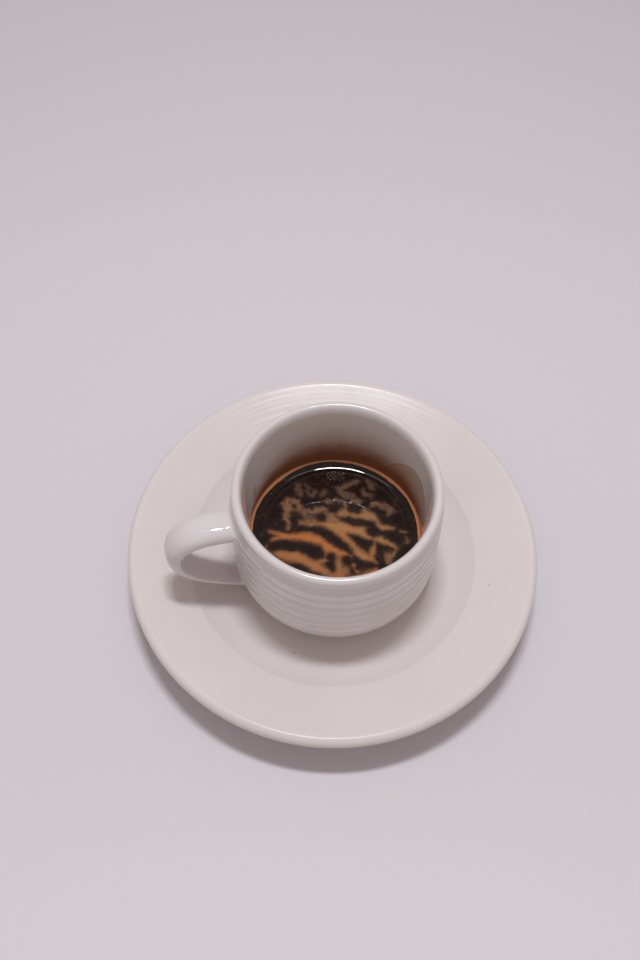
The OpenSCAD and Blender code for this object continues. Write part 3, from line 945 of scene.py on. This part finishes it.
# ------------------------------------------------------------------ stage
fme = bpy.data.meshes.new("table_top")
g = 1.6
fme.from_pydata([(-g, -g, 0), (g, -g, 0), (g, g, 0), (-g, g, 0)], [], [(0, 1, 2, 3)])
fme.update()
floor = bpy.data.objects.new("table_top", fme)
bpy.context.scene.collection.objects.link(floor)
F = Nodes("table_top")
fv = F.coords()
fy = F.xyz(fv)[1]
# painted light: the table is painted lighter towards the front and a little darker towards the back, standing in for
# the room light falling off
near = F.ramp01(fy, -40.0, -130.0)
far = F.mix(F.ramp01(fy, 60.0, 240.0), lin(217, 212, 220), lin(212, 207, 215))
F.link(F.mix(near, far, lin(226, 221, 228)), F.bsdf.inputs["Base Color"])
F.bsdf.inputs["Roughness"].default_value = 0.6
bsdf_set(F, 1.45, 0.2)
fme.materials.append(F.mat)

# ------------------------------------------------------------------ light
def strip(name, place, size_x, size_y, watts):
    lt = bpy.data.lights.new(name, "AREA")
    lt.shape = "RECTANGLE"
    lt.size, lt.size_y = size_x, size_y
    lt.energy = watts
    lt.color = (0.94, 0.965, 1.0)
    ob = bpy.data.objects.new(name, lt)
    bpy.context.scene.collection.objects.link(ob)
    zax = (Vector(place) - Vector((0.0, 0.0, 0.02))).normalized()
    xax = Vector((1, 0, 0))
    xax = (xax - zax * xax.dot(zax)).normalized()
    yax = zax.cross(xax).normalized()
    M = Matrix((xax, yax, zax)).transposed().to_4x4()
    M.translation = Vector(place)
    ob.matrix_world = M
    ob.visible_camera = False


strip("strip_core", (0.0, 0.082, 0.700), 0.150, 0.052, 2.40)
strip("strip_wide", (-0.02, 0.082, 0.701), 0.440, 0.054, 0.20)

world = bpy.data.worlds.new("soft")
bpy.context.scene.world = world
world.use_nodes = True
bg = world.node_tree.nodes["Background"]
# a soft even room, a little brighter towards the front
wt = world.node_tree
tc = wt.nodes.new("ShaderNodeTexCoord")
dot = wt.nodes.new("ShaderNodeVectorMath")
dot.operation = "DOT_PRODUCT"
wt.links.new(tc.outputs["Generated"], dot.inputs[0])
dot.inputs[1].default_value = (0.0, -0.7, 0.7)
mr = wt.nodes.new("ShaderNodeMapRange")
mr.interpolation_type = "SMOOTHSTEP"
mr.inputs["From Min"].default_value = 0.1
mr.inputs["From Max"].default_value = 0.8
mr.inputs["To Min"].default_value = 0.40
mr.inputs["To Max"].default_value = 0.44
wt.links.new(dot.outputs["Value"], mr.inputs["Value"])
bg.inputs[0].default_value = (1.0, 0.90, 0.81, 1.0)
wt.links.new(mr.outputs["Result"], bg.inputs[1])

# ------------------------------------------------------------------ camera
cam = bpy.data.cameras.new("camera")
cam.sensor_fit = "AUTO"
cam.sensor_width = 36.0
cam.lens = 34.875
cam.clip_start = 0.01
cam.clip_end = 10.0
co = bpy.data.objects.new("camera", cam)
bpy.context.scene.collection.objects.link(co)
e = math.radians(58.70)
ro = math.radians(1.19)
back = Vector((0, -math.cos(e), math.sin(e)))
right = Vector((1, 0, 0))
up = Vector((0, math.sin(e), math.cos(e)))
r2 = right * math.cos(ro) + up * math.sin(ro)
u2 = -right * math.sin(ro) + up * math.cos(ro)
Mc = Matrix((r2, u2, back)).transposed().to_4x4()
Mc.translation = Vector((-4.3, -131.8, 269.3)) * 0.001
co.matrix_world = Mc
bpy.context.scene.camera = co
bpy.context.scene.view_settings.view_transform = "Standard"
bpy.context.scene.view_settings.look = "None"
